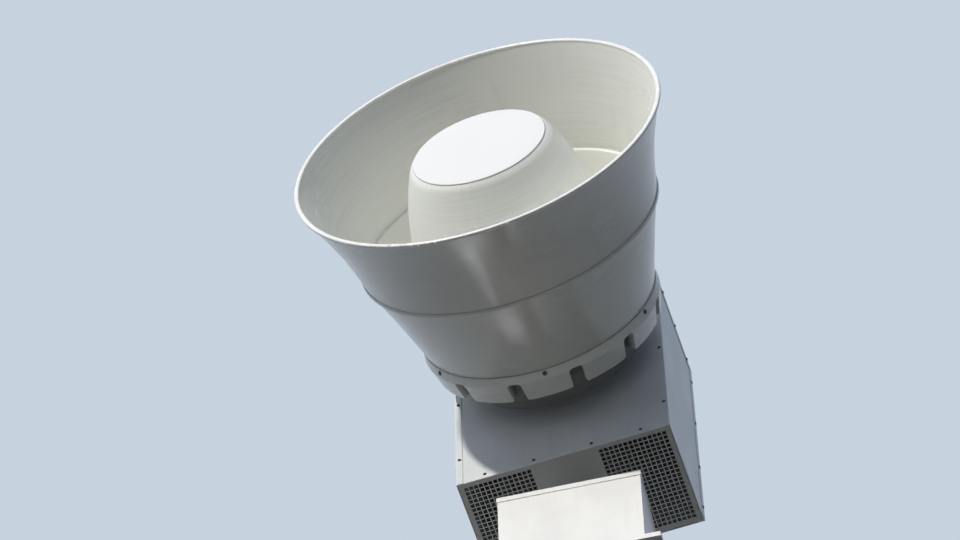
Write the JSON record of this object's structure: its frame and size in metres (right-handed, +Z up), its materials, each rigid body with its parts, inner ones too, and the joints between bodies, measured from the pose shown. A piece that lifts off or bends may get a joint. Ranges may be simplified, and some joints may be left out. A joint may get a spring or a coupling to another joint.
{
  "type": "rotating outdoor warning siren head",
  "caption": "Pole-top warning siren head: an annular horn with a centre body on a sheet-metal housing, turned by a rotator cabinet that bolts to a pole top.",
  "frame": {"origin": "on the turning axis at the underside of the base plate, where it stands on the pole top", "axes": "+Z up along the turning axis; -Y the way the horn points at rest; +X to the right of a viewer who faces the horn's mouth"},
  "size_m": [1.1418, 1.2164, 1.727],
  "materials": {
    "cabinet_paint": "satin white powder coat",
    "base_paint": "satin white powder coat",
    "bearing_metal": "grey painted casting",
    "pedestal_paint": "satin grey paint",
    "housing_paint": "satin light grey powder coat",
    "collar_paint": "satin grey paint",
    "horn_gelcoat": "glossy light grey gelcoat on moulded fibreglass",
    "rim_gelcoat": "glossy white rolled edge",
    "bullet_gelcoat": "semi-gloss light grey gelcoat",
    "face_paint": "gloss white"
  },
  "bodies": {
    "rotator_base": {"base_plate": "base_paint", "cabinet_front_cover": "cabinet_paint", "cabinet_back_wall": "cabinet_paint", "cabinet_left_wall": "cabinet_paint", "cabinet_right_wall": "cabinet_paint", "cabinet_lid": "cabinet_paint", "bearing_housing": "bearing_metal"},
    "head": {"turntable": "pedestal_paint", "pedestal_tube": "pedestal_paint", "pedestal_flange": "pedestal_paint", "bottom_panel": "housing_paint", "front_panel": "housing_paint", "left_side_panel": "housing_paint", "right_side_panel": "housing_paint", "top_cover": "housing_paint", "back_cover": "housing_paint", "collar": "collar_paint", "base_ring": "horn_gelcoat", "throat_plate": "bullet_gelcoat", "rear_bell": "horn_gelcoat", "front_bell": "horn_gelcoat", "mouth_rim": "rim_gelcoat", "bullet_body": "bullet_gelcoat", "bullet_face": "face_paint"}
  },
  "joints": [
    {"name": "head_rotation", "type": "hinge", "parent": "rotator_base", "child": "head", "pos_m": [0, 0, 0.412], "axis": [0, 0, 1], "continuous": true}
  ]
}
